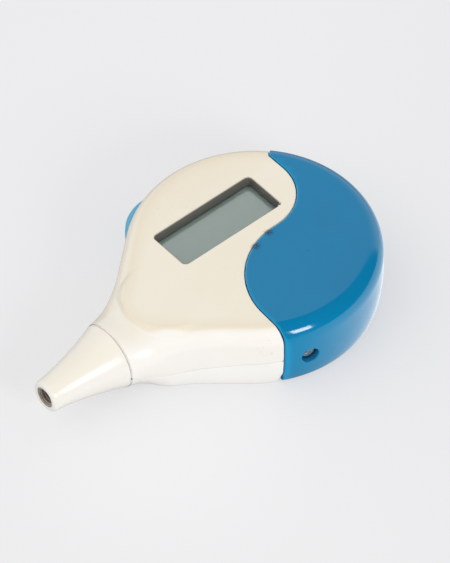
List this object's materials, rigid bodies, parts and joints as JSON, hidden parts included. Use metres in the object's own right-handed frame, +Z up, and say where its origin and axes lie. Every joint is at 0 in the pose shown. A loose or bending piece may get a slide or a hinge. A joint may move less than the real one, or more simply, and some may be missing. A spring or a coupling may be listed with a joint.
{
  "type": "infrared ear thermometer",
  "caption": "Flat pear-shaped infrared ear thermometer: tapered ear probe, recessed display, side scan button and a slide-off tail cap over a coin cell.",
  "frame": {"origin": "on the resting plane, under the centre of the round body", "axes": "+X to the tail with the probe towards -X, +Y to the display side, +Z up through the display"},
  "size_m": [0.0922, 0.0607, 0.0178],
  "materials": {
    "cream_shell": "satin moulded ABS",
    "pale_shell": "satin moulded ABS",
    "blue_shell": "glossy moulded ABS",
    "light_blue_shell": "satin moulded ABS",
    "white_shell": "smooth moulded ABS",
    "seal_rubber": "soft silicone",
    "tube_metal": "drawn tube",
    "block_metal": "turned",
    "steel": "bright nickel plate",
    "contact_metal": "plated sheet",
    "board_green": "solder resist on laminate",
    "wire_red": "soft insulation",
    "bezel_grey": "fine matt",
    "window_clear": "clear acrylic",
    "display_grey": "blank liquid crystal cell",
    "holder_white": "moulded",
    "strip_pink": "layered elastomer",
    "chip_black": "epoxy",
    "capacitor_tan": "epoxy",
    "tray_grey": "moulded",
    "plunger_white": "moulded"
  },
  "bodies": {
    "housing": {"upper_casing": "cream_shell", "lower_casing": "pale_shell", "probe_nose": "white_shell", "neck_seal": "seal_rubber", "waveguide_tube": "tube_metal", "sensor_block": "block_metal", "thermopile_can": "steel", "sensor_pins": "contact_metal", "sensor_board": "board_green", "sensor_wires": "wire_red", "display_bezel": "bezel_grey", "display_window": "window_clear", "display_glass": "display_grey", "display_holder": "holder_white", "connector_strips": "strip_pink", "main_board": "board_green", "microcontroller": "chip_black", "memory_chip": "chip_black", "timing_crystal": "steel", "capacitors": "capacitor_tan", "buzzer": "chip_black", "switch_body": "chip_black", "battery_tray": "tray_grey", "coin_cell": "steel", "positive_contact": "contact_metal", "negative_contact": "contact_metal", "casing_screws": "steel"},
    "cap": {"tail_cap": "blue_shell"},
    "screw": {"cap_screw": "steel"},
    "button": {"scan_button": "light_blue_shell"},
    "plunger": {"switch_plunger": "plunger_white"}
  },
  "joints": [
    {"name": "cap_slide", "type": "slide", "parent": "housing", "child": "cap", "axis": [0.788, -0.6157, 0], "range_m": [0, 0.04]},
    {"name": "cap_screw_turn", "type": "hinge", "parent": "cap", "child": "screw", "pos_m": [-0.00725, -0.02705, 0.0076], "axis": [-0.2588, -0.9659, 0], "continuous": true},
    {"name": "button_press", "type": "slide", "parent": "housing", "child": "button", "axis": [0.3907, -0.9205, 0], "range_m": [0, 0.0005], "stiffness_N_per_m": 1500},
    {"name": "plunger_press", "type": "slide", "parent": "housing", "child": "plunger", "axis": [0.3907, -0.9205, 0], "range_m": [0, 0.0005]}
  ],
  "couplings": [
    {"joint": "plunger_press", "follows": "button_press", "ratio": 1}
  ]
}
